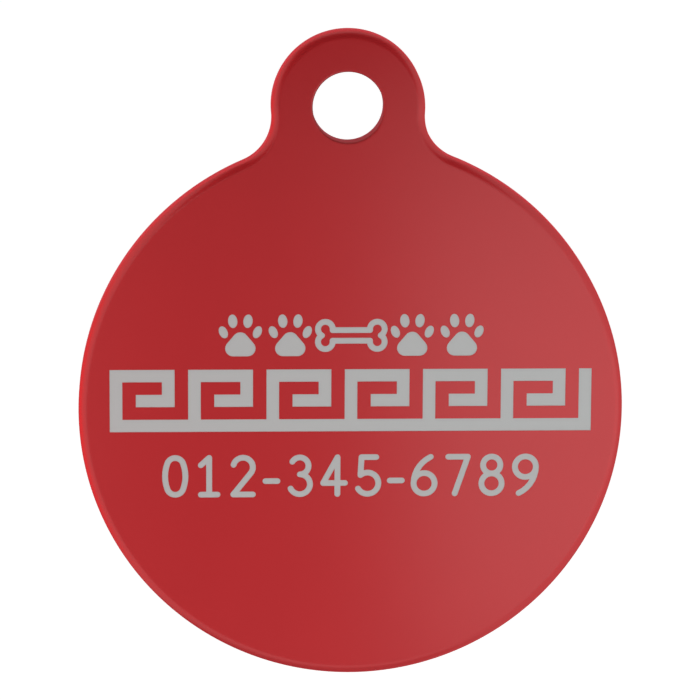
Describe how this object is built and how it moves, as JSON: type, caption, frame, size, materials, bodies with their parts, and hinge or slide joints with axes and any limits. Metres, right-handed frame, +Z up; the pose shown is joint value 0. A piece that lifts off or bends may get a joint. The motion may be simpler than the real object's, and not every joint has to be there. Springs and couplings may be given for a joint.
{
  "type": "pet id tag",
  "caption": "Round flat metal pet id tag with a small round ear, a ring hole and a soft rolled front edge; hangs from a collar ring.",
  "frame": {"origin": "centre of the ring hole, at half the thickness of the sheet", "axes": "+X across the face to the viewer's right, +Z up from the disc to the ear, front face towards -Y, ring hole along Y"},
  "size_m": [0.0318, 0.0016, 0.038],
  "materials": {
    "red_anodised": "satin red anodised aluminium",
    "etched_metal": "bare matt aluminium, on the shallow marks of the front face where the dye is burnt away"
  },
  "bodies": {
    "root": {"tag_blank": "red_anodised"}
  },
  "joints": []
}
